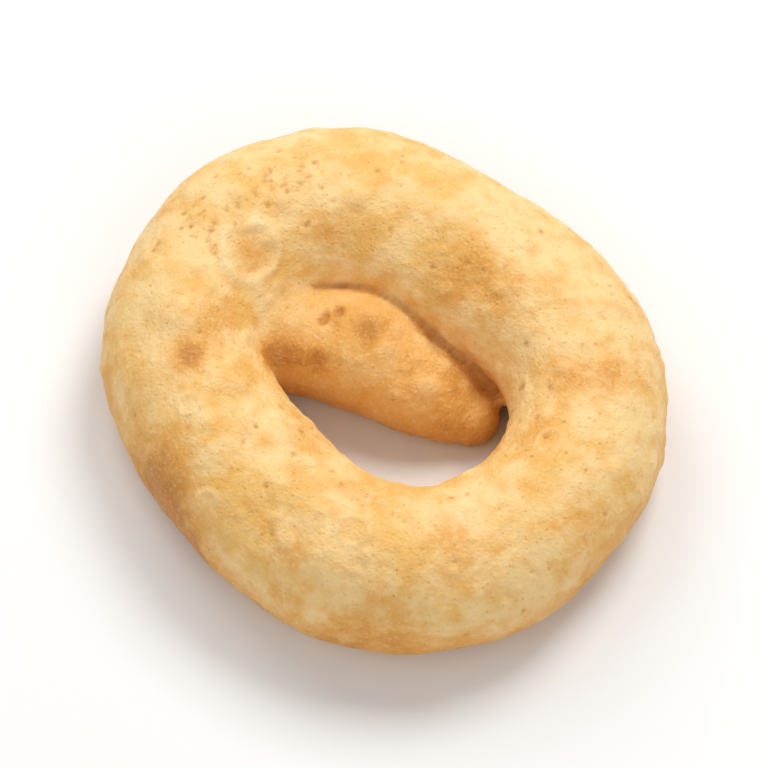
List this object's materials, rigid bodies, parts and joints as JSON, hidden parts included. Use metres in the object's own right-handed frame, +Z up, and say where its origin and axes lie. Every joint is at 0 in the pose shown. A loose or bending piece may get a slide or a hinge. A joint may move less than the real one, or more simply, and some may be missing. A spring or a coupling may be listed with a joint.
{
  "type": "tarallo biscuit",
  "caption": "Ring-shaped savoury biscuit of baked dough: a thick rope bent round, with one end tucked inside the hole and a flat underside.",
  "frame": {"origin": "under the middle of the ring's plan, on the surface it rests on", "axes": "+Z up through the hole, out of the shown side; -Y towards the open half of the hole; +X to the right of the tucked end's tip"},
  "size_m": [0.0532, 0.0538, 0.0142],
  "materials": {
    "crust": "golden baked crust, satin to matt, with toasted patches, small blisters and pores"
  },
  "bodies": {
    "root": {"tarallo": "crust"}
  },
  "joints": []
}
